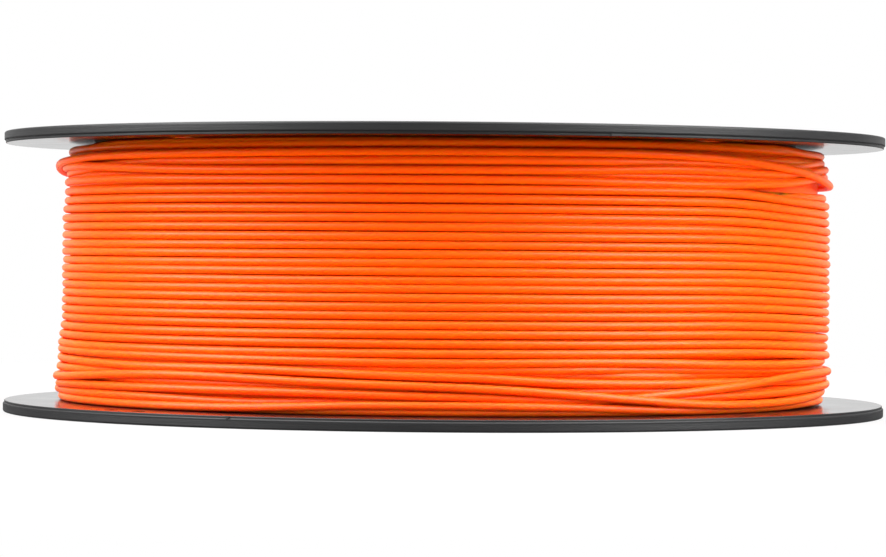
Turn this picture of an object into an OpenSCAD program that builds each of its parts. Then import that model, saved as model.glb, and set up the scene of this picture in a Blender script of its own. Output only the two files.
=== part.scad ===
// Filament spool: two moulded flanges snapped on a ribbed hub barrel, wound full of
// filament. Millimetres. The axis of the spool is Z, the spool lies on its lower
// flange, and the origin is the middle of that flange's outer face.

/* [Spool] */
// Outside diameter of both flanges
flange_d = 200; // [190:1:260]
// Overall width of the spool, outer face to outer face
spool_w = 63; // [50:0.5:90]
// Thickness of each flange at its rim
flange_t = 2.6; // [2.2:0.1:4]

/* [Rim] */
// Width of the flat ring round each outer face that the spool lies on
rim_ring_w = 8; // [6:0.5:12]
// How far the outer face is set back inside that ring
face_recess = 0.6; // [0.3:0.1:1]
// Height of the thin stepped lip at the rim's inner edge
lip_h = 0.8; // [0.5:0.1:1.2]
// How far the lip stands back from the rim
lip_step = 0.3; // [0.1:0.05:0.4]
// Bevel of the lip where it meets the inner face
lip_bevel = 0.12; // [0.05:0.01:0.2]
// Radius of the rim's outer corner
rim_round = 0.4; // [0.2:0.1:0.6]

/* [Hub] */
// Diameter of the bore that goes on a spool holder
bore_d = 55; // [40:0.5:58]
// Wall of the tube round the bore
bore_wall = 2.5; // [1.5:0.1:3]
// Width of the raised collar round the bore on each outer face
collar_w = 5; // [4:0.5:6]
// Outside diameter of the drum that the filament is wound on
drum_d = 90; // [88:1:110]
// Wall of the drum
drum_wall = 2.5; // [2:0.1:3]
// Number of ribs between the bore tube and the drum
rib_count = 6; // [3:1:8]
// Thickness of each rib
rib_t = 2; // [1.2:0.1:3]
// Width of each flange spoke that covers the end of a rib
spoke_w = 7; // [5:0.5:10]
// Width of the flange's ring under the drum, inside the snap fingers
seat_w = 1; // [0.5:0.1:2]

/* [Snap fit] */
// How far the snap fingers reach into the drum
finger_h = 7; // [5:0.5:10]
// Thickness of the fingers
finger_t = 1.8; // [1.2:0.1:2.2]
// Clearance between the fingers and the drum, and between the slits and the ribs
snap_gap = 0.2; // [0.1:0.05:0.4]
// How far the bead stands out of the fingers
bead_out = 0.7; // [0.4:0.1:0.9]
// Height of the bead along the axis
bead_h = 1.6; // [1.2:0.1:2]
// Distance from the bead to the fingers' tips
bead_from_tip = 0.6; // [0.4:0.1:1]

/* [Sight slots] */
// Number of slots in each flange that show how much filament is left
sight_count = 4; // [2:1:6]
// Width of a sight slot
sight_w = 8; // [5:0.5:12]
// Distance from a slot's ends to the drum and to the outside of the winding
sight_margin = 7; // [5:0.5:12]
// Number of raised marks along each slot
mark_count = 5; // [3:1:9]
// Length of the longer marks
mark_len = 5; // [3:0.5:8]
// Width of a mark
mark_w = 0.8; // [0.5:0.1:1.2]
// Height of a mark over the outer face
mark_h = 0.3; // [0.2:0.05:0.3]

/* [Holes for the filament's end] */
// Number of pairs of holes in each flange
hole_pairs = 4; // [2:1:6]
// Diameter of a hole
end_hole_d = 3; // [2.8:0.1:3.2]
// Distance between the two holes of a pair
hole_spacing = 9; // [7:0.5:14]
// Distance from a hole's centre to the rim
hole_inset = 5; // [4:0.5:7]

/* [Filament] */
// Diameter of the filament
strand_d = 1.75; // [1.5:0.05:1.8]
// Distance from the outside of the wound filament to the rim of the flanges
fill_gap = 12.3; // [10.5:0.1:25]
// Clearance between the winding and the flanges
side_gap = 0.25; // [0.1:0.05:0.5]
// Clearance between the winding and what it lies on
wrap_gap = 0.1; // [0.05:0.05:0.3]
// Diameter of the hole in the drum that anchors the inner end
anchor_hole_d = 3; // [2.6:0.1:5]

/* [Hidden] */
$fn = 96;
// How deep an added feature is rooted in the wall that it stands on
ROOT = 0.6;
flange_r = flange_d / 2;
bore_r = bore_d / 2;
drum_r = drum_d / 2;
winding_r = flange_r - fill_gap;
strand_r = strand_d / 2;
rim_ring_r = flange_r - rim_ring_w;
collar_r = bore_r + collar_w;
drum_in_r = drum_r - drum_wall;
barrel_w = spool_w - 2 * flange_t;

// Snap fingers stand on the inner face, just inside the drum
finger_out_r = drum_in_r - snap_gap;
finger_in_r = finger_out_r - finger_t;
slit_w = rib_t + 2 * snap_gap;
bead_top = finger_h - bead_from_tip;

// Hub windows lie between the collar and the seat ring
window_in_r = collar_r;
window_out_r = finger_in_r - seat_w;

// Sight slots reach over the wound filament
sight_in_r = drum_r + sight_margin;
sight_out_r = winding_r - sight_margin;
sight_first = 45;

// Holes for the filament's end
hole_r_at = flange_r - hole_inset;
hole_half_angle = asin(hole_spacing / 2 / hole_r_at);
hole_first = 45;

// The outer layer of filament: one tube that climbs clockwise from the lower flange to
// the upper one, then doubles back over itself and goes out through a rim hole
loop_rings = 24;
ring_sides = 6;
ring_step = 360 / loop_rings;
least_gap = 0.55;
layer_r = winding_r - strand_r;
core_r = (layer_r - strand_r) * cos(ring_step / 2) - wrap_gap;
low_z = flange_t + side_gap + strand_r;
high_z = spool_w - low_z;
main_loops = min(22.75, floor((high_z - low_z) / (strand_d + least_gap)) - 0.25);
main_rings = round(main_loops * loop_rings);
pitch = (high_z - low_z) / main_loops;

// The free end: rise on to the layer, slant down over it, run off straight, turn up
rise_rings = 3;
slant_rings = 5;
over_r = layer_r + (strand_d + least_gap) / cos(ring_step / 2);
bend_r = 3.5 * strand_d;
bend_rings = 6;
end_inset = 0.6;
tail_z = spool_w - flange_t - bend_r - strand_d;
hole_angle = hole_first - hole_half_angle;
leave_angle = hole_angle + acos(over_r / hole_r_at);
run_len = sqrt(hole_r_at * hole_r_at - over_r * over_r);
layer_end_angle = leave_angle + (rise_rings + slant_rings) * ring_step;
start_angle = layer_end_angle + main_rings * ring_step;
ledge_angle = 16;

BLACK = "#1d1d1f";
DARK = "#2a2a2d";
ORANGE = "#ff6a14";

// ---- helpers -------------------------------------------------------------------

function polar(r, angle, z) = [r * cos(angle), r * sin(angle), z];
function unit(v) = v / norm(v);
function mix(a, b, t) = a + (b - a) * t;

module around(count, first = 0) {
    for (i = [0 : count - 1]) rotate([0, 0, first + i * 360 / count]) children();
}

module ring(inner_r, outer_r, height) {
    rotate_extrude() translate([inner_r, 0]) square([outer_r - inner_r, height]);
}

// ---- flanges -------------------------------------------------------------------

// Half section of the moulded disc, from the bore out to the stepped rim
module flange_section() {
    lip_r = flange_r - lip_step;
    corner = [for (i = [0 : 3]) let (a = 90 * i / 3)
        [flange_r - rim_round + rim_round * sin(a), rim_round - rim_round * cos(a)]];
    polygon(concat(
        [[bore_r, 0], [collar_r, 0], [collar_r, face_recess],
         [rim_ring_r, face_recess], [rim_ring_r, 0]],
        corner,
        [[flange_r, flange_t - lip_h], [lip_r, flange_t - lip_h + lip_step],
         [lip_r, flange_t - lip_bevel], [lip_r - lip_bevel, flange_t],
         [bore_r, flange_t]]));
}

// Half section of the finger ring, its bead chamfered on the way in and out
module finger_section() {
    root = flange_t - ROOT;
    tip = flange_t + finger_h;
    bead = flange_t + bead_top;
    lead = bead_h / 3;
    polygon([[finger_in_r, root], [finger_out_r, root],
             [finger_out_r, bead - bead_h], [finger_out_r + bead_out, bead - bead_h + lead],
             [finger_out_r + bead_out, bead - lead], [finger_out_r, bead],
             [finger_out_r, tip - snap_gap], [finger_out_r - snap_gap, tip],
             [finger_in_r, tip]]);
}

module snap_fingers() {
    difference() {
        rotate_extrude() finger_section();
        around(rib_count)
            translate([finger_in_r - 1, -slit_w / 2, flange_t])
                cube([finger_t + bead_out + 2, slit_w, finger_h + 1]);
    }
}

// A window between two spokes, through to the chambers of the hub
module hub_window() {
    half = 180 / rib_count;
    difference() {
        translate([0, 0, -1])
            rotate([0, 0, -half])
                rotate_extrude(angle = 2 * half)
                    translate([window_in_r, 0])
                        square([window_out_r - window_in_r, flange_t + 2]);
        for (side = [-1, 1])
            rotate([0, 0, side * half])
                translate([window_in_r - 1, -spoke_w / 2, -2])
                    cube([window_out_r - window_in_r + 2, spoke_w, flange_t + 4]);
    }
}

module sight_slot() {
    r = sight_w / 2;
    translate([0, 0, -1]) {
        for (x = [sight_in_r + r, sight_out_r - r])
            translate([x, 0, 0]) cylinder(r = r, h = flange_t + 2);
        translate([sight_in_r + r, -r, 0])
            cube([sight_out_r - sight_in_r - sight_w, sight_w, flange_t + 2]);
    }
}

// Raised marks along one side of a slot, every other one shorter
module sight_marks() {
    r = sight_w / 2;
    span = sight_out_r - sight_in_r - 2 * r;
    for (i = [0 : mark_count - 1]) {
        length = i % 2 == 0 ? mark_len : mark_len / 2;
        translate([sight_in_r + r + span * i / (mark_count - 1) - mark_w / 2,
                   r + 1, face_recess - mark_h])
            cube([mark_w, length, mark_h + ROOT]);
    }
}

module end_holes() {
    around(hole_pairs, hole_first)
        for (side = [-1, 1])
            rotate([0, 0, side * hole_half_angle])
                translate([hole_r_at, 0, -1]) cylinder(d = end_hole_d, h = flange_t + 2);
}

// One flange, outer face down on z = 0 and snap fingers up
module flange() {
    difference() {
        rotate_extrude() flange_section();
        around(rib_count, 180 / rib_count) hub_window();
        around(sight_count, sight_first) sight_slot();
        end_holes();
    }
    around(sight_count, sight_first) sight_marks();
    snap_fingers();
}

module lower_flange() {
    color(BLACK) flange();
}

module upper_flange() {
    color(BLACK) translate([0, 0, spool_w]) mirror([0, 0, 1]) flange();
}

// ---- hub -----------------------------------------------------------------------

// The groove that a flange's bead snaps into, measured from the barrel's end
module snap_groove() {
    lead = bead_h / 3;
    deep = finger_out_r + bead_out + snap_gap;
    low = bead_top - bead_h - snap_gap;
    high = bead_top + snap_gap;
    rotate_extrude()
        polygon([[drum_in_r - 1, low], [drum_in_r, low], [deep, low + lead],
                 [deep, high - lead], [drum_in_r, high], [drum_in_r - 1, high]]);
}

// The hole that the filament's inner end is hooked through, half-way up the drum
module anchor(diameter, from_r, to_r) {
    rotate([0, 0, 180 / rib_count])
        translate([from_r, 0, spool_w / 2])
            rotate([0, 90, 0]) cylinder(d = diameter, h = to_r - from_r);
}

// The chambers between the ribs, and both snap grooves, but for the ribs
module barrel_hollows() {
    difference() {
        union() {
            translate([0, 0, -1]) ring(bore_r + bore_wall, drum_in_r, barrel_w + 2);
            snap_groove();
            translate([0, 0, barrel_w]) mirror([0, 0, 1]) snap_groove();
        }
        around(rib_count)
            translate([bore_r, -rib_t / 2, -2]) cube([drum_r - bore_r, rib_t, barrel_w + 4]);
    }
}

module hub_barrel() {
    color(DARK)
        difference() {
            translate([0, 0, flange_t])
                difference() {
                    cylinder(r = drum_r, h = barrel_w);
                    translate([0, 0, -1]) cylinder(r = bore_r, h = barrel_w + 2);
                    barrel_hollows();
                }
            anchor(anchor_hole_d, drum_in_r - 1, drum_r + 1);
        }
}

// ---- filament ------------------------------------------------------------------

// The inner layers as one plain ring, with the bent inner end that the drum holds and
// the ledge where the strand comes up from the layer below
module filament_core() {
    color(ORANGE) {
        translate([0, 0, flange_t + side_gap])
            ring(drum_r + wrap_gap, core_r, barrel_w - 2 * side_gap);
        anchor(strand_d, drum_in_r - strand_d, drum_r + strand_d);
        rotate([0, 0, start_angle])
            rotate_extrude(angle = ledge_angle)
                translate([core_r - strand_d, low_z - strand_r])
                    square([layer_r + strand_r - core_r + strand_d, strand_d]);
    }
}

// Each point of the strand's path: its place and the outward direction there
function layer_point(i) = let (angle = start_angle - i * ring_step)
    [polar(layer_r, angle, low_z + pitch * i / loop_rings), polar(1, angle, 0)];

function over_point(i) = let (angle = layer_end_angle - i * ring_step,
                              up = min(1, i / rise_rings),
                              down = max(0, (i - rise_rings) / slant_rings))
    [polar(mix(layer_r, over_r, up), angle, mix(high_z, tail_z, down)), polar(1, angle, 0)];

run_out = polar(1, leave_angle, 0);
run_way = polar(1, leave_angle - 90, 0);
run_start = polar(over_r, leave_angle, tail_z);
run_end = run_start + (run_len - bend_r) * run_way;

function bend_point(i) = let (a = 90 * i / bend_rings)
    [run_end + bend_r * (sin(a) * run_way + [0, 0, 1 - cos(a)]), run_out];

// The first point lies on the ledge's face; a second one keeps the start straight
start_out = polar(1, start_angle, 0);
start_way = polar(1, start_angle - 90, 0);
start_at = polar(layer_r, start_angle, low_z) + wrap_gap * start_way;

path = concat(
    [[start_at, start_out], [start_at + strand_d * start_way, start_out]],
    [for (i = [1 : main_rings]) layer_point(i)],
    [for (i = [1 : rise_rings + slant_rings]) over_point(i)],
    [for (i = [0 : bend_rings]) bend_point(i)],
    [[polar(hole_r_at, hole_angle, spool_w - end_inset), run_out]]);
last = len(path) - 1;

function path_way(i) = unit(path[min(i + 1, last)][0] - path[max(i - 1, 0)][0]);

// The end rings stand square to the strand
function ring_points(i) = let (
        way = i == 0 ? start_way : i == last ? [0, 0, 1] : path_way(i),
        side = unit(cross(way, path[i][1])),
        out = cross(side, way))
    [for (k = [0 : ring_sides - 1]) let (a = 360 * k / ring_sides)
        path[i][0] + strand_r * (cos(a) * out + sin(a) * side)];

function skin_faces() = [for (i = [0 : last - 1], k = [0 : ring_sides - 1])
    let (n = ring_sides, a = i * n + k, b = i * n + (k + 1) % n)
        each [[a, b, a + n], [b, b + n, a + n]]];

function cap_faces() = let (n = ring_sides, top = last * n)
    concat([for (k = [1 : n - 2]) [0, k + 1, k]],
           [for (k = [1 : n - 2]) [top, top + k, top + k + 1]]);

module filament_winding() {
    color(ORANGE)
        polyhedron(points = [for (i = [0 : last]) each ring_points(i)],
                   faces = concat(skin_faces(), cap_faces()));
}

// The least distance between the strand's surfaces, one loop or more apart
function near_rings(i) = [for (j = [i + loop_rings - 2 : min(last, i + loop_rings + 12)]) j];
function gap_from(i) = min([for (j = near_rings(i)) norm(path[i][0] - path[j][0])]);
winding_gap = min([for (i = [0 : last - loop_rings + 2]) gap_from(i)]) - strand_d;
echo(winding_gap = winding_gap, winding_loops = main_loops, winding_rings = last + 1);

lower_flange();
upper_flange();
hub_barrel();
filament_core();
filament_winding();
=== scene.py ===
"""Filament spool: the finish of its mouldings, and the filament wound on it strand by strand.

Metres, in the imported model's frame. The axis of the spool is +Z and it lies on z = 0. An
azimuth is measured round the axis in degrees: 0 is the front (-Y), 90 the right (+X).
"""

import math
from itertools import combinations

import bmesh
import bpy
from bpy.props import FloatProperty, FloatVectorProperty, IntProperty, PointerProperty
from mathutils import Matrix, Vector


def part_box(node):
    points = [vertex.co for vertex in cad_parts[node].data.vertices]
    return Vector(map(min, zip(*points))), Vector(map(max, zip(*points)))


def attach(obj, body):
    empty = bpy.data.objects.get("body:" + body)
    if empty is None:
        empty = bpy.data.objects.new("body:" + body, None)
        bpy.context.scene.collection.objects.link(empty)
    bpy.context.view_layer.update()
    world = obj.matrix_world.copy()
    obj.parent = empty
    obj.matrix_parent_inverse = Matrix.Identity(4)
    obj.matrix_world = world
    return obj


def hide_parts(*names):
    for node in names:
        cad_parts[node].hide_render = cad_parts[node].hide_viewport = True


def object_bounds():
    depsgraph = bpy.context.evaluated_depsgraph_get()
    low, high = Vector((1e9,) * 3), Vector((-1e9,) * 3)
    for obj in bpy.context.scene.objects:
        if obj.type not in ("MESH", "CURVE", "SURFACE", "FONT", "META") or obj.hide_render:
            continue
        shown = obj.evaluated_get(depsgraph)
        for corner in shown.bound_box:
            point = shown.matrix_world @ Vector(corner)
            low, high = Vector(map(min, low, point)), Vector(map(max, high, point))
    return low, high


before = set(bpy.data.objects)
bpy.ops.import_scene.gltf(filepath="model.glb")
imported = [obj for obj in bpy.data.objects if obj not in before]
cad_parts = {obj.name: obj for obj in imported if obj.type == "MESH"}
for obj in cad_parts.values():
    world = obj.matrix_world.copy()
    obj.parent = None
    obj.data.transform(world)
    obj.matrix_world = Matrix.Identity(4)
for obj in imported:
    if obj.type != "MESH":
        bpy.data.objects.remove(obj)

bl_info = {
    "name": "Filament Spool",
    "version": (1, 0, 0),
    "blender": (4, 5, 0),
    "location": "View3D > Sidebar > Spool",
    "description": "Dresses a filament spool: mouldings, wound filament and studio",
    "category": "Add Mesh",
}

MM = 0.001
TURN = 360.0
CAD_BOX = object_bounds()
FLANGE_R = CAD_BOX[1].x
SPOOL_W = CAD_BOX[1].z
# The barrel fills the room between the flanges' inner faces
FACE_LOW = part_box("hub_barrel")[0].z
FACE_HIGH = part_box("hub_barrel")[1].z
DRUM_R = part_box("hub_barrel")[1].x
RIM_STEP = 1.8 * MM   # height of the small step that runs round each rim

# The listed runs of the outer layer. Each goes across the front from left to right as
# (azimuth, height in mm, lift out of the layer in mm), in the order in which the strand
# makes them, and it goes on round the back to the left end of the next.
REACH = 84            # azimuth of a run's ends, to the left and right of the front
TOP_RUNS = [
    # under the upper flange, recessed, and listed round the back too
    [(-84, 58.5, -1.3), (-70, 58.7, -1.4), (-60, 58.85, -1.3), (-30, 58.85, -1.1),
     (0, 59.1, -1.0), (30, 59.25, -1.1), (54, 59.0, -1.4), (70, 58.8, -2.0), (84, 58.9, -2.3),
     (110, 58.6, -1.4), (190, 57.2, 0.2), (235, 54.9, 1.2), (258, 53.9, 1.6), (268, 54.5, 1.7),
     (276, 55.5, 1.6)],
    # starts over the next run at the left, and dives across three others on the right
    [(-84, 55.5, 1.6), (-77, 56.0, 1.4), (-70, 56.4, 1.0), (-60, 56.8, 0.5), (-42, 57.0, 0.2),
     (-12, 57.2, 0.1), (12, 57.3, 0.1), (26, 57.35, 0.2), (36, 57.1, 0.3), (45, 56.55, 0.4),
     (54, 55.6, 0.4), (62, 54.7, 0.4), (70, 53.5, 0.5), (77, 52.6, 0.6), (84, 52.0, 0.7)],
    # shows as a loop's end at the left, then passes under the next run
    [(-84, 53.5, -0.9), (-76, 53.75, 0.1), (-70, 53.9, 0.1), (-64, 54.4, -0.7), (-56, 55.1, -1.2),
     (-46, 55.45, -1.0), (-36, 55.35, -0.7), (-18, 55.4, -0.4), (0, 55.5, -0.1), (36, 55.6, 0.0),
     (47, 55.45, -0.5), (56, 55.4, -1.1), (66, 56.1, -1.2), (74, 56.8, -1.1), (84, 57.1, -1.2)],
    [(-84, 54.9, -0.6), (-76, 55.0, 0.1), (-68, 54.85, 0.5), (-58, 54.5, 0.6), (-49, 54.0, 0.5),
     (-41, 53.65, 0.3), (-30, 53.45, 0.1), (8, 53.5, 0.0), (20, 53.7, 0.0), (32, 54.2, 0.0),
     (42, 54.1, 0.0), (52, 53.8, -0.3), (60, 53.9, -1.0), (68, 54.5, -1.2), (76, 55.3, -0.9),
     (84, 55.7, -0.7)],
    [(-84, 51.7, -0.5), (-70, 51.8, -0.2), (-54, 51.85, 0.0), (-30, 51.55, 0.0), (12, 51.5, 0.0),
     (30, 51.25, 0.0), (42, 51.2, 0.0), (50, 51.55, 0.0), (58, 51.9, -0.1), (66, 52.7, -0.6),
     (74, 53.5, -1.0), (84, 54.1, -0.6)],
]
LOW_RUNS = [
    [(-84, 14.2, 0.9), (-70, 14.2, 0.5), (-42, 14.1, 0.0), (-24, 13.95, 0.0), (0, 13.65, 0.0),
     (20, 13.85, 0.0), (30, 13.7, 0.1), (42, 13.2, 0.2), (54, 12.85, 0.2), (66, 12.75, -0.1),
     (84, 12.6, -0.5)],
    [(-84, 12.3, 1.0), (-66, 12.1, 0.5), (-50, 11.85, 0.1), (-28, 11.9, 0.2), (-18, 11.5, 0.2),
     (-6, 10.95, 0.2), (5, 10.55, 0.2), (14, 9.8, 0.2), (22, 9.45, 0.1), (32, 9.3, 0.0),
     (42, 9.35, -0.5), (52, 9.2, -1.1), (62, 8.95, -1.0), (72, 8.85, -0.7), (84, 8.8, -0.6)],
    # ducks under the run above and comes out over it
    [(-84, 10.2, 0.9), (-70, 10.35, 0.5), (-62, 10.45, -0.3), (-52, 10.9, -1.3), (-40, 11.5, -1.6),
     (-28, 12.1, -1.5), (-16, 12.25, -1.1), (0, 12.15, -0.8), (14, 12.2, -0.5), (26, 12.3, -0.4),
     (38, 12.1, -0.5), (50, 11.8, -0.8), (60, 11.5, -1.2), (84, 11.6, -1.5)],
    [(-84, 9.0, 0.6), (-74, 9.35, 0.2), (-64, 9.8, -0.9), (-50, 10.2, -1.6), (-20, 10.7, -1.7),
     (4, 10.9, -1.5), (14, 10.9, -1.0), (24, 10.95, -0.5), (36, 10.8, -0.5), (48, 10.7, -0.9),
     (60, 10.7, -1.4), (84, 10.6, -1.5)],
    # a lens of this one shows at the left, and another on the right
    [(-84, 8.5, -1.3), (-64, 8.9, -1.4), (-50, 8.8, -0.9), (-38, 8.75, -0.7), (-26, 8.55, -0.9),
     (-12, 8.1, -1.4), (8, 7.5, -1.6), (18, 7.75, -1.0), (26, 7.8, -0.5), (34, 7.8, -0.9),
     (46, 8.2, -1.5), (84, 8.3, -1.5)],
    # the proud run that sweeps from the middle down to the lower flange
    [(-84, 8.0, 2.0), (-74, 8.5, 1.6), (-66, 8.95, 1.2), (-58, 9.55, 0.9), (-50, 10.05, 0.6),
     (-42, 10.25, 0.5), (-32, 10.1, 0.4), (-18, 9.45, 0.4), (-6, 8.95, 0.4), (4, 8.45, 0.5),
     (12, 7.8, 0.6), (20, 6.9, 0.8), (28, 5.95, 0.9), (36, 5.05, 0.8), (44, 4.6, 0.6),
     (54, 4.6, 0.3), (62, 4.85, 0.0), (72, 5.45, -0.4), (84, 5.9, -0.8)],
    # passes under the sweep and rises over the others on the right
    [(-84, 6.4, 1.6), (-72, 6.85, 1.0), (-60, 7.1, 0.4), (-40, 7.35, 0.0), (-24, 7.3, 0.0),
     (-10, 6.95, 0.0), (4, 6.55, -0.1), (12, 6.1, -0.5), (20, 5.95, -0.9), (26, 6.3, -0.8),
     (32, 7.0, -0.2), (38, 7.65, 0.2), (44, 8.35, 0.5), (52, 9.35, 0.7), (60, 10.05, 0.6),
     (70, 10.4, 0.4), (84, 10.3, 0.1)],
    [(-84, 5.0, 0.8), (-72, 5.2, 0.4), (-56, 5.3, 0.0), (-44, 5.25, -0.2), (-34, 5.0, -0.4),
     (-26, 5.0, -0.9), (-14, 5.5, -1.4), (8, 5.7, -1.6), (26, 5.7, -1.5), (35, 6.05, -0.8),
     (42, 6.35, -0.2), (52, 6.6, 0.0), (62, 6.95, -0.1), (72, 7.3, -0.4), (84, 7.4, -0.6)],
    # against the lower flange
    [(-84, 3.55, 0.8), (-72, 3.6, 0.5), (-54, 3.6, 0.0), (-40, 3.65, 0.0), (-30, 3.8, 0.1),
     (-22, 4.2, 0.2), (-12, 4.7, 0.2), (0, 4.8, 0.2), (10, 4.7, 0.2), (20, 4.4, 0.1),
     (29, 3.9, 0.0), (37, 3.6, -0.4), (46, 3.55, -1.0), (60, 3.65, -1.0), (70, 3.9, -1.0),
     (84, 3.8, -1.4)],
]
# Where the last run goes on to, under the others
GOES_UNDER = [(-84, 3.5, -0.8)]
# Where strands of the layer below come up between those of the outer layer
COME_UP = [
    [(30, 50.2, -1.4), (42, 50.05, -1.0), (49, 50.0, -0.3), (56, 49.95, 0.0), (64, 50.45, 0.1),
     (71, 51.0, 0.1), (77, 50.9, -0.5), (84, 50.5, -0.8), (96, 50.3, -1.4)],
    [(12, 52.9, -1.4), (26, 52.75, -0.9), (38, 52.75, -0.7), (48, 52.6, -1.0), (60, 52.7, -1.3),
     (72, 53.6, -1.4), (84, 53.5, -1.2), (96, 53.3, -1.4)],
    [(54, 49.2, -1.6), (64, 49.1, -0.9), (74, 49.2, -0.5), (84, 49.2, -0.9), (96, 49.2, -1.6)],
    [(-8, 43.0, -1.6), (8, 42.9, -0.9), (26, 42.85, -0.8), (40, 42.8, -1.0), (54, 42.7, -1.6)],
    [(56, 17.7, -1.4), (66, 17.65, -0.9), (74, 17.55, -0.6), (84, 17.5, -0.9), (96, 17.5, -1.4)],
    [(-70, 3.52, -1.4), (-40, 3.52, -0.9), (-14, 3.52, -0.45), (14, 3.52, -0.4), (30, 3.52, -0.7),
     (50, 3.52, -1.4)],
    [(-56, 59.4, -1.4), (-40, 59.45, -1.35), (0, 59.45, -1.3), (40, 59.45, -1.35),
     (56, 59.4, -1.4)],
]


class SpoolFilament(bpy.types.PropertyGroup):
    """The filament and how it is wound"""

    strand: FloatProperty(
        name="Filament diameter", description="Diameter of the filament",
        default=0.00175, min=0.001, max=0.003, unit="LENGTH")
    layer_r: FloatProperty(
        name="Layer radius", description="Radius of the outer layer, to the middle of its strands",
        default=0.08643, min=0.05, max=0.095, unit="LENGTH")
    lean: FloatProperty(
        name="Lean", description="How far the outer layer is off the spool's axis, to the right",
        default=0.00045, min=0.0, max=0.002, unit="LENGTH")
    pitch: FloatProperty(
        name="Pitch", description="Height from one regular turn to the next",
        default=0.00189, min=0.0015, max=0.003, unit="LENGTH")
    first_height: FloatProperty(
        name="First turn", description="Height of the topmost regular turn",
        default=0.04955, min=0.01, max=0.06, unit="LENGTH")
    turns: IntProperty(
        name="Regular turns", description="Number of regular turns between the hand-laid runs",
        default=19, min=1, max=40)
    colour: FloatVectorProperty(
        name="Filament colour", description="Colour of the filament", subtype="COLOR", size=3,
        default=(1.0, 0.092, 0.0), min=0.0, max=1.0)


class SpoolMouldings(bpy.types.PropertyGroup):
    """The black mouldings"""

    colour: FloatVectorProperty(
        name="Flange colour", description="Colour of both flanges", subtype="COLOR", size=3,
        default=(0.005, 0.005, 0.0054), min=0.0, max=1.0)
    hub_colour: FloatVectorProperty(
        name="Barrel colour", description="Colour of the hub barrel", subtype="COLOR", size=3,
        default=(0.018, 0.018, 0.019), min=0.0, max=1.0)
    rim_rough: FloatProperty(
        name="Rim roughness", description="Roughness of the rims' satin band",
        default=0.38, min=0.0, max=1.0, subtype="FACTOR")
    face_rough: FloatProperty(
        name="Face roughness", description="Roughness of the polished faces",
        default=0.12, min=0.0, max=1.0, subtype="FACTOR")


class SpoolStudio(bpy.types.PropertyGroup):
    """The studio: floor, lamps and camera"""

    distance: FloatProperty(
        name="Camera distance", description="From the spool's axis to the camera",
        default=0.867, min=0.3, max=5.0, unit="LENGTH")
    height: FloatProperty(
        name="Camera height", description="Height of the camera over the floor",
        default=0.03638, min=0.0, max=2.0, unit="LENGTH")
    lens: FloatProperty(
        name="Lens", description="Focal length of the camera on a 36 mm sensor",
        default=154.1, min=20.0, max=300.0, unit="CAMERA")
    side_power: FloatProperty(
        name="Side lamps", description="Power of each soft lamp beside the spool",
        default=34.0, min=0.0, max=100.0, unit="POWER")
    top_power: FloatProperty(
        name="Top lamp", description="Power of the soft lamp over the spool",
        default=3.0, min=0.0, max=100.0, unit="POWER")


# ---- shader helpers --------------------------------------------------------------


class Value:
    """A socket whose arithmetic adds Math nodes to its node tree"""

    def __init__(self, shader, socket):
        self.shader = shader
        self.socket = socket

    def _math(self, operation, *inputs):
        return self.shader.node("ShaderNodeMath", {"operation": operation},
                                **{str(i): v for i, v in enumerate(inputs)})

    def __add__(self, other):
        return self._math("ADD", self, other)

    def __radd__(self, other):
        return self._math("ADD", other, self)

    def __sub__(self, other):
        return self._math("SUBTRACT", self, other)

    def __rsub__(self, other):
        return self._math("SUBTRACT", other, self)

    def __mul__(self, other):
        return self._math("MULTIPLY", self, other)

    def __rmul__(self, other):
        return self._math("MULTIPLY", other, self)

    def __truediv__(self, other):
        return self._math("DIVIDE", self, other)

    def __gt__(self, other):
        return self._math("GREATER_THAN", self, other)


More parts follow.
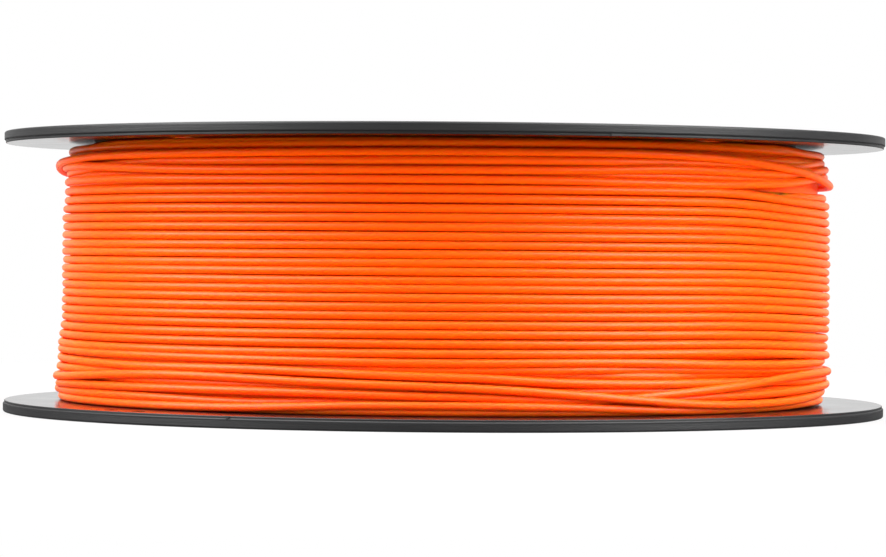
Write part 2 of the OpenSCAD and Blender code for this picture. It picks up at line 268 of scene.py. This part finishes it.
class Shader:
    """Builds one node tree"""

    def __init__(self, owner):
        owner.use_nodes = True
        self.tree = owner.node_tree
        self.tree.nodes.clear()

    def node(self, kind, settings=None, out=0, **inputs):
        """A node of any type: its settings first, then the values or links of its sockets"""
        made = self.tree.nodes.new(kind)
        for name, value in (settings or {}).items():
            setattr(made, name, value)
        for name, value in inputs.items():
            socket = self._input(made, name)
            if isinstance(value, Value):
                self.tree.links.new(value.socket, socket)
            else:
                socket.default_value = value
        return Value(self, made.outputs[out]) if len(made.outputs) else None

    @staticmethod
    def _input(made, name):
        if name.isdigit():
            return made.inputs[int(name)]
        wanted = name.replace("_", " ").lower()
        return next(s for s in made.inputs if s.enabled and s.name.lower() == wanted)

    def place(self):
        """Object coordinates"""
        return self.node("ShaderNodeTexCoord", out="Object")

    def split(self, vector):
        parts = self.node("ShaderNodeSeparateXYZ", Vector=vector)
        return [Value(self, output) for output in parts.socket.node.outputs]

    def noise(self, vector, scale, detail=2.0, rough=0.5):
        return self.node("ShaderNodeTexNoise", out="Fac", Vector=vector, Scale=scale,
                         Detail=detail, Roughness=rough)

    def mix(self, factor, first, second):
        return self.node("ShaderNodeMix", {"data_type": "RGBA"}, out="Result", Factor=factor,
                         A=first, B=second)

    def round_the_axis(self, share):
        """Coordinates that follow the spool, for a pattern drawn out round it; radius; height"""
        x, y, z = self.split(self.place())
        radius = self.root(x * x + y * y)
        azimuth = self.node("ShaderNodeMath", {"operation": "ARCTAN2"}, **{"0": y, "1": x})
        coordinates = self.node("ShaderNodeCombineXYZ", X=azimuth * share, Y=radius, Z=z)
        return coordinates, radius, z

    def apart(self, value, other):
        """The distance between two values"""
        return self.node("ShaderNodeMath", {"operation": "ABSOLUTE"}, **{"0": value - other})

    def root(self, value):
        return self.node("ShaderNodeMath", {"operation": "SQRT"}, **{"0": value})

    def step(self, value, low, high):
        """A smooth step from 0 at low to 1 at high"""
        return self.node("ShaderNodeMapRange", {"interpolation_type": "SMOOTHSTEP"}, Value=value,
                         From_Min=low, From_Max=high)

    def bump(self, height, depth, strength):
        return self.node("ShaderNodeBump", Height=height, Distance=depth, Strength=strength)

    def blend(self, factor, first, second):
        """Two surfaces in one: the first where the factor is 0, the second where it is 1"""
        return self.node("ShaderNodeMixShader", **{"0": factor, "1": first, "2": second})

    def rays(self):
        """Whether a ray comes from the camera, from a glossy surface or through a clear one"""
        outputs = self.node("ShaderNodeLightPath").socket.node.outputs
        return [Value(self, outputs[name])
                for name in ("Is Camera Ray", "Is Glossy Ray", "Is Transmission Ray")]

    def output(self, surface, kind="ShaderNodeOutputMaterial"):
        self.node(kind, Surface=surface)


# ---- materials -------------------------------------------------------------------


WHITE = (1.0, 1.0, 1.0, 1.0)

# Metres in the pattern for one radian round the axis: the fewer, the longer the streaks
STRAND_STREAKS = 0.004
RIM_STREAKS = 0.0015

RIM_DEPTH = 0.45 * MM    # how far in from its edge a flange has the rim's finish
FOLD_REACH = 0.16 * MM   # how far from the corner of the rim's step the plastic is dull


def shade(colour, share=1.0):
    """A colour, or a darker or lighter one of the same hue, for a socket"""
    return (colour[0] * share, colour[1] * share, colour[2] * share, 1.0)


def filament_material(sizes):
    """Smooth extruded plastic with a soft gloss, a little uneven along the strand"""
    material = bpy.data.materials.new("filament")
    shader = Shader(material)
    along = shader.round_the_axis(STRAND_STREAKS)[0]
    streaks = shader.noise(along, scale=5200.0, detail=3.0, rough=0.6)
    clouds = shader.noise(shader.place(), scale=160.0)
    surface = shader.node(
        "ShaderNodeBsdfPrincipled",
        Base_Color=shader.mix(clouds, shade(sizes.colour), shade(sizes.colour, 0.95)),
        Roughness=0.37 + 0.06 * streaks,
        Normal=shader.bump(streaks, depth=0.01 * MM, strength=0.3),
        IOR=1.4,
        Specular_IOR_Level=0.38,
        Subsurface_Weight=1.0,
        Subsurface_Radius=(1.0, 0.5, 0.1),
        Subsurface_Scale=0.0018,
    )
    shader.output(surface)
    return material


def flange_material(sizes):
    """Black moulded plastic: polished faces, and a rim band with fine drawn streaks"""
    material = bpy.data.materials.new("flange_plastic")
    shader = Shader(material)
    along, radius, height = shader.round_the_axis(RIM_STREAKS)
    fold = shader.apart(shader.apart(height, SPOOL_W / 2), SPOOL_W / 2 - RIM_STEP)
    in_fold = 1.0 - (fold > FOLD_REACH)
    on_rim = radius > FLANGE_R - RIM_DEPTH
    streaks = shader.noise(along, scale=3600.0, detail=3.0, rough=0.65)
    clouds = shader.noise(shader.place(), scale=90.0, detail=3.0)
    grain = shader.noise(shader.place(), scale=1500.0)
    face_rough = sizes.face_rough + 0.06 * clouds
    rim_rough = sizes.rim_rough + 0.25 * streaks + 0.5 * in_fold
    surface = shader.node(
        "ShaderNodeBsdfPrincipled",
        Base_Color=shader.mix(clouds, shade(sizes.colour), shade(sizes.colour, 1.5)),
        Roughness=shader.mix(on_rim, face_rough, rim_rough),
        Normal=shader.bump(on_rim * streaks + grain * 0.1, depth=0.05 * MM, strength=0.7),
        IOR=1.48,
        Specular_IOR_Level=0.5,
    )
    shader.output(surface)
    return material


def hub_material(sizes):
    """Black plastic with the fine sparkle of an eroded mould"""
    material = bpy.data.materials.new("hub_plastic")
    shader = Shader(material)
    place = shader.place()
    grain = shader.noise(place, scale=2600.0)
    clouds = shader.noise(place, scale=60.0, detail=3.0)
    surface = shader.node(
        "ShaderNodeBsdfPrincipled",
        Base_Color=shader.mix(clouds, shade(sizes.hub_colour), shade(sizes.hub_colour, 1.4)),
        Roughness=0.42 + 0.12 * grain,
        Normal=shader.bump(grain, depth=0.04 * MM, strength=0.5),
        IOR=1.5,
    )
    shader.output(surface)
    return material


SHADOW_FADE = (0.14, 0.4)   # distances from the axis between which the shadow fades out
SHADOW_SHARE = 0.2          # how much of the lit floor, and so of its shadow, the eye sees there
BACK_FADE = (0.0, 0.3)      # how far back the floor grows white to a reflection


def sweep_material():
    """Pale floor with a shadow: white to the eye, and to a reflection white only at the back"""
    material = bpy.data.materials.new("floor")
    shader = Shader(material)
    place = shader.place()
    clouds = shader.noise(place, scale=6.0)
    paper = shader.node("ShaderNodeBsdfPrincipled",
                        Base_Color=shader.mix(clouds, shade(WHITE, 0.36), shade(WHITE, 0.4)),
                        Roughness=0.9)
    glow = shader.node("ShaderNodeEmission", Color=WHITE, Strength=1.0)
    dim = shader.node("ShaderNodeEmission", Color=WHITE, Strength=0.2)
    camera, glossy, clear = shader.rays()
    distance = shader.node("ShaderNodeVectorMath", {"operation": "LENGTH"}, out="Value",
                           **{"0": place})
    near = 1.0 - shader.step(distance, *SHADOW_FADE)
    back = shader.step(shader.split(place)[1], *BACK_FADE)
    white = camera * (1.0 - SHADOW_SHARE * near) + (glossy + clear) * (1.0 - near) * back
    upper = shader.blend(white, shader.blend(glossy, paper, dim), glow)
    below = shader.node("ShaderNodeNewGeometry", out="Backfacing")
    shader.output(shader.blend(below, upper, shader.node("ShaderNodeBsdfTransparent")))
    return material


def finish_node(name, material):
    """Gives a CAD node its finish, in every slot"""
    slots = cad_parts[name].material_slots
    for slot in slots:
        slot.material = material
    if not slots:
        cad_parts[name].data.materials.append(material)


# ---- winding ---------------------------------------------------------------------


def eased(t):
    """Smoothly from 0 to 1 as t does, and level before and after"""
    t = min(1.0, max(0.0, t))
    return t * t * (3.0 - 2.0 * t)


def between(value, start, end):
    """Smoothly from 0 to 1 as the value goes from start to end"""
    return eased((value - start) / (end - start))


def through(points, azimuth):
    """Height and lift on a smooth curve through listed points, in mm"""
    last = len(points) - 1
    i = 1
    while i < last and points[i][0] < azimuth:
        i += 1
    before, start, end, after = (points[max(i - 2, 0)], points[i - 1], points[i],
                                 points[min(i + 1, last)])
    span = end[0] - start[0]
    t = min(1.0, max(0.0, (azimuth - start[0]) / span))
    values = []
    for k in (1, 2):
        slope_start = (end[k] - before[k]) / (end[0] - before[0]) * span
        slope_end = (after[k] - start[k]) / (after[0] - start[0]) * span
        values.append((2 * t**3 - 3 * t**2 + 1) * start[k] + (t**3 - 2 * t**2 + t) * slope_start
                      + (3 * t**2 - 2 * t**3) * end[k] + (t**3 - t**2) * slope_end)
    return values


SIDES = (45.0, 85.0)          # azimuths between which the front turns into a side
LOW_TURNS = (24.0, 13.0)      # heights over which the low turns leave the circle, in mm
TOP_TURNS = (43.0, 49.0)      # and over which the top turns do
LEFT_LOW, LEFT_TOP = 0.9, -0.45        # how far both stand out at the left, in mm
RIGHT_LOW, RIGHT_TOP = -0.45, -0.25    # and at the right


def out_of_round(azimuth, level):
    """How far the regular turns stand out of a true circle at the left and right, in mm"""
    left = between(-azimuth, *SIDES)
    right = between(azimuth, *SIDES)
    low = between(level, *LOW_TURNS)
    top = between(level, *TOP_TURNS)
    return left * (LEFT_LOW * low + LEFT_TOP * top) + right * (RIGHT_LOW * low + RIGHT_TOP * top)


RUN_POINTS = 6                # degrees from one point of a regular run to the next
STEP_DOWN = (38.0, 92.0)      # azimuths between which a regular turn steps down to the next
CROWDED = 6                   # how many turns give way to the strands that come up
GIVE_WAY = 0.75               # how far the first of them does, in mm
GIVING = (40.0, 62.0)         # azimuths over which they give way
COMING_BACK = (62.0, 102.0)   # and over which they come back
UNEVEN = 0.3                  # how far turns lie from an even spacing, in mm
SWAY = 0.05                   # how far a turn wanders up and down, in mm
WANDER = 0.1                  # how far it wanders in and out, in mm
PROUD = 0.06                  # how far whole turns stand in or out, in mm


def regular_run(sizes, k):
    """A turn that runs level across the front and starts its step down on the right"""
    pitch = sizes.pitch / MM
    level = sizes.first_height / MM - k * pitch - UNEVEN * math.sin(2 * math.pi * k / sizes.turns)
    extra = GIVE_WAY * max(0.0, 1.0 - k / CROWDED)
    points = []
    # The odd factors only keep one turn from wandering like the next
    for azimuth in range(-REACH, REACH + 1, RUN_POINTS):
        step = pitch * between(azimuth, *STEP_DOWN)
        early = extra * between(azimuth, *GIVING) * (1.0 - between(azimuth, *COMING_BACK))
        sway = SWAY * math.sin(math.radians(azimuth * 2.3 + k * 137.0))
        wander = WANDER * math.sin(math.radians(azimuth * 1.7 + k * 97.0))
        lift = wander + PROUD * math.sin(k * 2.9)
        points.append((azimuth, level - step - early + sway, lift + out_of_round(azimuth, level)))
    return points


SAMPLES = 120        # points in one turn
LONG_DROP = 3.0      # a strand that falls further than this behind, in mm, crosses others
HUMP = 0.9           # and rises so far to do it, in mm


def turn_samples(run, next_run):
    """One turn from the left end of a run, across the front, and behind to the next run"""
    left, right = run[0][0], run[-1][0]
    start_height, start_lift = run[-1][1:]
    end_height, end_lift = next_run[0][1:]
    drop = end_height - start_height
    hump = HUMP if drop < -LONG_DROP else 0.0
    samples = []
    for i in range(SAMPLES):
        azimuth = left + i * TURN / SAMPLES
        if azimuth <= right:
            height, lift = through(run, azimuth)
        else:
            t = (azimuth - right) / (TURN + left - right)
            height = start_height + drop * eased(t)
            lift = start_lift + (end_lift - start_lift) * eased(t) + hump * math.sin(math.pi * t)
        samples.append([height, lift])
    return samples


def crossings_behind(turns, strand):
    """Which of two turns is the upper one, the same for the whole of each crossing behind"""
    ways = {}
    behind = range(int(2 * REACH * SAMPLES / TURN) + 1, SAMPLES)
    for (a, first), (b, second) in combinations(enumerate(turns), 2):
        crossing = []
        for i in (*behind, SAMPLES):
            if i < SAMPLES and abs(first[i][0] - second[i][0]) < strand:
                crossing.append(i)
                continue
            way = math.copysign(1.0, sum(first[j][1] - second[j][1] for j in crossing))
            ways.update({(a, b, j): way for j in crossing})
            crossing = []
    return ways


# In strand diameters: how far apart strands are clear, and how level and how far beside each
# other they are neighbours, which may touch
CLEAR = 0.95
LEVEL, BESIDE = 0.1, 0.8
# The share of what is missing that the first and the second of two strands move in one pass
FIRST_GIVES, SECOND_GIVES = 0.15, 0.35
PASSES = 6


def push_apart(first, second, strand, way):
    """Moves strands that lie in one another apart; way is 1 if the first is the upper, else -1"""
    beside = abs(first[0] - second[0])
    if beside >= strand:
        return
    apart = (first[1] - second[1]) * way
    clear = apart > 0.0 and math.hypot(beside, apart) > CLEAR * strand
    neighbours = abs(apart) < LEVEL * strand and beside > BESIDE * strand
    if clear or neighbours:
        return
    missing = math.sqrt(strand**2 - beside**2) - apart
    first[1] += FIRST_GIVES * missing * way
    second[1] -= SECOND_GIVES * missing * way


def settle(turns, strand):
    """Pushes crossing strands apart, so that the proud one rests on the one below it"""
    ways = crossings_behind(turns, strand)
    for _ in range(PASSES):
        for i in range(SAMPLES):
            column = enumerate(turn[i] for turn in turns)
            for (a, first), (b, second) in combinations(column, 2):
                way = ways.get((a, b, i), math.copysign(1.0, first[1] - second[1]))
                push_apart(first, second, strand, way)
        smooth_lifts(turns)


def smooth_lifts(turns):
    """Evens out the lift along the strand, so that it bends gently over another"""
    chain = [sample for turn in turns for sample in turn]
    lifts = [sample[1] for sample in chain]
    for i in range(1, len(chain) - 1):
        chain[i][1] = 0.25 * lifts[i - 1] + 0.5 * lifts[i] + 0.25 * lifts[i + 1]


def around(azimuth, radius, height, lean=0.0):
    """The point at an azimuth, radius and height, moved to the right by the lean"""
    a = math.radians(azimuth)
    return Vector((radius * math.sin(a) + lean, -radius * math.cos(a), height))


OUTER_SIDES, HIDDEN_SIDES = 4, 2   # how finely a strand is rounded: more is rounder


def tube(name, points, diameter, resolution, material):
    """One smooth round strand along a list of points"""
    curve = bpy.data.curves.new(name, "CURVE")
    curve.dimensions = "3D"
    curve.bevel_depth = diameter / 2
    curve.bevel_resolution = resolution
    curve.use_fill_caps = True
    spline = curve.splines.new("POLY")
    spline.points.add(len(points) - 1)
    for target, point in zip(spline.points, points):
        target.co = (*point, 1.0)
    spline.use_smooth = True
    curve.materials.append(material)
    made = bpy.data.objects.new(name, curve)
    bpy.context.scene.collection.objects.link(made)
    return made


# The rim hole that the free end is parked in: one of a pair, each side of 135 degrees
HOLE_R = FLANGE_R - 5.0 * MM
HOLE_SPACING = 9.0 * MM
HOLE_AZIMUTH = 135.0 - math.degrees(math.asin(HOLE_SPACING / 2 / HOLE_R))
TIP_IN = 0.6 * MM     # how far the free end's tip stays inside its hole
TAIL_HEIGHT = 52.3    # where the free end leaves the winding, in mm
TAIL_LIFT = 3.2       # how far out of the layer, in mm: enough to clear a raised turn behind
TAIL_SINKS = 0.6      # the share of its way over the layer after which it sinks in
TAIL_BEND = 3.5       # radius of its bend down from the hole, in strand diameters
BEND_STEPS = 8
LEAN_WITHIN = 60.0    # azimuth over which it takes up the layer's lean


def tail_from(sizes):
    """The azimuth where the free end leaves the winding, straight for its rim hole"""
    radius = sizes.layer_r + TAIL_LIFT * MM
    return HOLE_AZIMUTH + math.degrees(math.acos(radius / HOLE_R))


def free_end(sizes):
    """From the rim hole of the upper flange, down and on to the winding"""
    hole = around(HOLE_AZIMUTH, HOLE_R, 0.0)
    leave = around(tail_from(sizes), sizes.layer_r + TAIL_LIFT * MM, 0.0)
    way = (leave - hole).normalized()
    bend = TAIL_BEND * sizes.strand
    bend_top = hole + Vector((0, 0, TAIL_HEIGHT * MM + bend))
    points = [hole + Vector((0, 0, SPOOL_W - TIP_IN)), hole + Vector((0, 0, FACE_HIGH)), bend_top]
    middle = bend_top + bend * way
    for i in range(1, BEND_STEPS + 1):
        a = math.pi / 2 * i / BEND_STEPS
        points.append(middle - bend * math.cos(a) * way - Vector((0, 0, bend * math.sin(a))))
    return points


def tail_samples(start_azimuth, first_run):
    """The free end slants up over the layer to the left end of the first run"""
    end_azimuth = TURN + first_run[0][0]
    end_height, end_lift = first_run[0][1:]
    step = TURN / SAMPLES
    count = int((end_azimuth - start_azimuth) / step)
    samples = []
    for i in range(count):
        azimuth = end_azimuth - (count - i) * step
        t = (azimuth - start_azimuth) / (end_azimuth - start_azimuth)
        height = TAIL_HEIGHT + (end_height - TAIL_HEIGHT) * eased(t)
        lift = TAIL_LIFT + (end_lift - TAIL_LIFT) * between(t, TAIL_SINKS, 1.0)
        samples.append((azimuth, height, lift))
    return samples


def outer_layer_points(sizes):
    """The free end, then every turn of the outer layer, from the upper flange to the lower"""
    runs = [*TOP_RUNS, *(regular_run(sizes, k) for k in range(sizes.turns)), *LOW_RUNS]
    turns = [turn_samples(run, after) for run, after in zip(runs, [*runs[1:], GOES_UNDER])]
    settle(turns, sizes.strand / MM)
    points = free_end(sizes)
    start_azimuth = tail_from(sizes)
    for azimuth, height, lift in tail_samples(start_azimuth, TOP_RUNS[0]):
        lean = sizes.lean * eased((azimuth - start_azimuth) / LEAN_WITHIN)
        points.append(around(azimuth, sizes.layer_r + lift * MM, height * MM, lean))
    for turn in turns:
        for i, (height, lift) in enumerate(turn):
            azimuth = -REACH + i * TURN / SAMPLES
            points.append(around(azimuth, sizes.layer_r + lift * MM, height * MM, sizes.lean))
    return points


UNDER_DROP = 1.38            # how far the layer below lies under the outer one, in mm
UNDER_SAMPLES = 90           # points in one turn of it
UNDER_LOW = 0.95             # from the lower flange to its first turn, in mm
UNDER_HIGH = 1.7             # from its last turn to the upper flange, in mm
UNDER_STEP = (0.05, 0.25)    # the part of a turn in which it steps up to the next
RISER_BLEND = 14.0           # azimuth over which a strand comes up, and goes down again


def under_layer_points(sizes):
    """The layer below climbs the other way, and comes up where the outer one parts"""
    low = FACE_LOW / MM + UNDER_LOW
    high = FACE_HIGH / MM - UNDER_HIGH
    turns = round((high - low) / (sizes.pitch / MM))
    rise = (high - low) / turns
    nearest = [round((run[0][1] - low) / rise - 0.5) for run in COME_UP]
    risers = {min(turns - 1, max(0, k)): run for k, run in zip(nearest, COME_UP)}
    points = []
    for k in range(turns):
        run = risers.get(k)
        for i in range(UNDER_SAMPLES):
            azimuth = -TURN / 2 + i * TURN / UNDER_SAMPLES
            height = low + rise * (k + between(i / UNDER_SAMPLES, *UNDER_STEP))
            lift = -UNDER_DROP
            if run:
                left, right = run[0][0], run[-1][0]
                up = min(between(azimuth, left - RISER_BLEND, left),
                         between(azimuth, right + RISER_BLEND, right))
                up_height, up_lift = through(run, azimuth)
                height += (up_height - height) * up
                lift += (up_lift - lift) * up
            points.append(around(azimuth, sizes.layer_r + lift * MM, height * MM, sizes.lean))
    return points


MERGE = 1e-7               # corners nearer than this are one
BODY_CLEAR = 0.1 * MM      # from the inner layers to the drum and to the flanges
BODY_UNDER = 0.2 * MM      # from them up to the middle of the layer below
PACKED = 0.9               # from one inner layer to the next, in strand diameters
BODY_STEPS = 128           # faces round the spool
LAST_FEW = 3               # how many layers stop short of the upper flange
SHORT = 1.0 * MM           # and by how much
ARC_STEPS = 4              # edges of a strand's round on a side face
ARC_DEPTH = 0.8            # depth of the groove beside it, in strand radii


def spin(mesh, geom, angle, steps, use_merge=False):
    """Spins a section round the spool's axis, with the faces outwards"""
    bmesh.ops.spin(mesh, geom=geom, cent=(0, 0, 0), axis=(0, 0, 1), angle=angle, steps=steps,
                   use_merge=use_merge)
    bmesh.ops.remove_doubles(mesh, verts=mesh.verts, dist=MERGE)
    bmesh.ops.recalc_face_normals(mesh, faces=mesh.faces)


def side_face(sizes, side, face):
    """Radius and height along one side face of the inner layers, from the drum outwards"""
    inner = DRUM_R + BODY_CLEAR
    outer = sizes.layer_r - UNDER_DROP * MM - BODY_UNDER
    count = int((outer - inner) / (sizes.strand * PACKED))
    spacing = (outer - inner) / count
    row = []
    for k in range(count):
        middle = inner + (k + 0.5) * spacing
        short = SHORT if side > 0 and k >= count - LAST_FEW else 0.0
        for step in range(ARC_STEPS + 1):
            a = math.pi * (step / ARC_STEPS - 0.5)
            down = sizes.strand / 2 * (1.0 - math.cos(a)) * ARC_DEPTH + short
            row.append((middle + spacing / 2 * math.sin(a), face - side * down))
    return row


def inner_layers(sizes, material):
    """The layers below as one body, with every layer's last turn round on both side faces"""
    upper = side_face(sizes, 1.0, FACE_HIGH - BODY_CLEAR)
    lower = side_face(sizes, -1.0, FACE_LOW + BODY_CLEAR)
    mesh = bmesh.new()
    corners = [mesh.verts.new((r, 0.0, z)) for r, z in upper + lower[::-1]]
    for first, second in zip(corners, corners[1:] + corners[:1]):
        if (first.co - second.co).length > MERGE:
            mesh.edges.new((first, second))
    bmesh.ops.remove_doubles(mesh, verts=mesh.verts, dist=MERGE)
    spin(mesh, [*mesh.verts, *mesh.edges], 2 * math.pi, BODY_STEPS, use_merge=True)
    return solid("inner_layers", mesh, material)


def solid(name, mesh, material, smooth=True):
    """Turns a bmesh into a finished object at the origin"""
    data = bpy.data.meshes.new(name)
    for face in mesh.faces:
        face.smooth = smooth
    mesh.to_mesh(data)
    mesh.free()
    data.materials.append(material)
    made = bpy.data.objects.new(name, data)
    bpy.context.scene.collection.objects.link(made)
    return made


# ---- small marks of the moulds ---------------------------------------------------


# Name, azimuth, width, lowest and highest height, and how far within the rim's edge it ends
GATE_MARKS = (
    ("gate_mark_upper", 20.6, 2.6 * MM, SPOOL_W - 2.5 * MM, SPOOL_W - 2.0 * MM, 0.12 * MM),
    ("gate_mark_lower", -26.3, 0.6 * MM, 1.7 * MM, 2.5 * MM, 0.05 * MM),
)
MARK_ROOT = 0.5 * MM   # how far within the rim's edge a mark begins, hidden in the flange
MARK_STEPS = 6


def gate_mark(name, azimuth, width, low, high, within, material):
    """A small raised pad on a rim's stepped lip, where the mould was filled"""
    root, face = FLANGE_R - MARK_ROOT, FLANGE_R - within
    half = width / FLANGE_R / 2
    mesh = bmesh.new()
    section = mesh.faces.new([mesh.verts.new(around(0.0, r, z))
                              for r, z in ((root, low), (face, low), (face, high), (root, high))])
    turned = Matrix.Rotation(math.radians(azimuth) - half, 3, "Z")
    bmesh.ops.rotate(mesh, verts=mesh.verts, cent=(0, 0, 0), matrix=turned)
    spin(mesh, [section], 2 * half, MARK_STEPS)
    return solid(name, mesh, material, smooth=False)


# ---- operators -------------------------------------------------------------------


class SPOOL_OT_flanges(bpy.types.Operator):
    """Finish both flanges and add the marks of their mould"""

    bl_idname = "spool.flanges"
    bl_label = "Flanges"

    def execute(self, context):
        material = flange_material(context.scene.spool_mouldings)
        for name in ("lower_flange", "upper_flange"):
            finish_node(name, material)
        for sizes in GATE_MARKS:
            mark = gate_mark(*sizes, material)
            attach(mark, "root")
        return {"FINISHED"}


class SPOOL_OT_barrel(bpy.types.Operator):
    """Finish the hub barrel"""

    bl_idname = "spool.barrel"
    bl_label = "Hub barrel"

    def execute(self, context):
        finish_node("hub_barrel", hub_material(context.scene.spool_mouldings))
        return {"FINISHED"}


class SPOOL_OT_winding(bpy.types.Operator):
    """Wind the filament: the inner layers, the layer below and the outer layer"""

    bl_idname = "spool.winding"
    bl_label = "Filament"

    def execute(self, context):
        sizes = context.scene.spool_filament
        material = filament_material(sizes)
        body = inner_layers(sizes, material)
        below = tube("under_layer", under_layer_points(sizes), sizes.strand, HIDDEN_SIDES, material)
        outer = tube("outer_layer", outer_layer_points(sizes), sizes.strand, OUTER_SIDES, material)
        for piece in (body, below, outer):
            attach(piece, "root")
        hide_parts("filament_core")
        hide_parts("filament_winding")
        return {"FINISHED"}


FLOOR_HALF = 6.0              # half the floor's width, in metres
FLOOR_DROP = 0.05 * MM        # how far it lies under the lower flange, so that they don't meet
# The background, by how far a direction points to the back (+Y) and how far up, each -1 to 1
BEHIND = (0.7, 0.93)          # to the back, level: where it turns white
SCREEN_STARTS = (0.0, 0.08)   # up: where the soft screen in front begins
SCREEN_ENDS = (0.45, 0.8)     # up: where it ends
DARK = 0.1                    # strength of the dim light in front
SCREEN = 0.42                 # strength that the screen adds to it
GLOSS_DIMS = 0.6              # how much weaker a glossy surface sees both
# The camera looks level to the back, apart from these
CAMERA_SIDE = -0.22 * MM
CAMERA_PITCH = 89.613         # degrees up from straight down
CAMERA_ROLL = 0.433           # degrees


class SPOOL_OT_studio(bpy.types.Operator):
    """Set the floor, the lamps, the background and the camera"""

    bl_idname = "spool.studio"
    bl_label = "Studio"

    def execute(self, context):
        scene = context.scene
        studio = scene.spool_studio
        self.floor()
        self.world(scene)
        self.lamp("lamp_left", studio.side_power, place=(-0.69, -0.21, 0.72), size=(0.98, 1.4))
        self.lamp("lamp_right", studio.side_power, place=(0.63, -0.35, 0.72), size=(0.76, 1.5))
        self.lamp("lamp_top", studio.top_power, place=(0.0, -0.5, 1.0), size=(2.0, 1.2))
        self.camera(scene, studio)
        scene.view_settings.view_transform = "Standard"
        return {"FINISHED"}

    def floor(self):
        mesh = bmesh.new()
        bmesh.ops.create_grid(mesh, x_segments=1, y_segments=1, size=FLOOR_HALF)
        bmesh.ops.translate(mesh, verts=mesh.verts, vec=(0.0, 0.0, -FLOOR_DROP))
        solid("floor", mesh, sweep_material(), smooth=False)

    def world(self, scene):
        """White behind the spool; elsewhere a soft screen over dim ground, unseen by the eye"""
        world = bpy.data.worlds.new("studio")
        scene.world = world
        shader = Shader(world)
        camera, glossy, _ = shader.rays()
        x, y, z = shader.split(shader.node("ShaderNodeTexCoord", out="Generated"))
        behind = shader.step(y / shader.root(x * x + y * y), *BEHIND)
        screen = shader.step(z, *SCREEN_STARTS) * (1.0 - shader.step(z, *SCREEN_ENDS))
        front = (DARK + SCREEN * screen) * (1.0 - GLOSS_DIMS * glossy)
        level = behind + front * (1.0 - behind)
        light = shader.node("ShaderNodeBackground", Color=WHITE, Strength=level)
        white = shader.node("ShaderNodeBackground", Color=WHITE, Strength=1.0)
        shader.output(shader.blend(camera, light, white), "ShaderNodeOutputWorld")

    def lamp(self, name, power, place, size):
        """A soft lamp that shines on the spool's middle"""
        data = bpy.data.lights.new(name, "AREA")
        data.shape = "RECTANGLE"
        data.size, data.size_y = size
        data.energy = power
        made = bpy.data.objects.new(name, data)
        made.location = place
        aim = Vector((0, 0, SPOOL_W / 2)) - Vector(place)
        made.rotation_euler = aim.to_track_quat("-Z", "Y").to_euler()
        bpy.context.scene.collection.objects.link(made)

    def camera(self, scene, studio):
        data = bpy.data.cameras.new("camera")
        data.lens = studio.lens
        data.sensor_width = 36.0
        data.clip_start, data.clip_end = 0.01, 50.0
        made = bpy.data.objects.new("camera", data)
        pitch = Matrix.Rotation(math.radians(CAMERA_PITCH), 4, "X")
        roll = Matrix.Rotation(math.radians(CAMERA_ROLL), 4, "Z")
        place = Matrix.Translation((CAMERA_SIDE, -studio.distance, studio.height))
        made.matrix_world = place @ pitch @ roll
        scene.collection.objects.link(made)
        scene.camera = made


class SPOOL_PT_panel(bpy.types.Panel):
    """Lists the steps that dress the spool, and their sizes and colours"""

    bl_label = "Filament spool"
    bl_idname = "SPOOL_PT_panel"
    bl_space_type = "VIEW_3D"
    bl_region_type = "UI"
    bl_category = "Spool"

    def draw(self, context):
        for name, group in GROUPS.items():
            box = self.layout.box()
            for size in group.__annotations__:
                box.prop(getattr(context.scene, name), size)
        for operator in OPERATORS:
            self.layout.operator(operator.bl_idname)


GROUPS = {
    "spool_filament": SpoolFilament,
    "spool_mouldings": SpoolMouldings,
    "spool_studio": SpoolStudio,
}
OPERATORS = (SPOOL_OT_flanges, SPOOL_OT_barrel, SPOOL_OT_winding, SPOOL_OT_studio)


def register():
    for cls in (*GROUPS.values(), *OPERATORS, SPOOL_PT_panel):
        bpy.utils.register_class(cls)
    for name, group in GROUPS.items():
        setattr(bpy.types.Scene, name, PointerProperty(type=group))


def unregister():
    for name in GROUPS:
        delattr(bpy.types.Scene, name)
    for cls in reversed((*GROUPS.values(), *OPERATORS, SPOOL_PT_panel)):
        bpy.utils.unregister_class(cls)


def main():
    register()
    bpy.ops.spool.flanges()
    bpy.ops.spool.barrel()
    bpy.ops.spool.winding()
    bpy.ops.spool.studio()


if __name__ == "__main__":
    main()
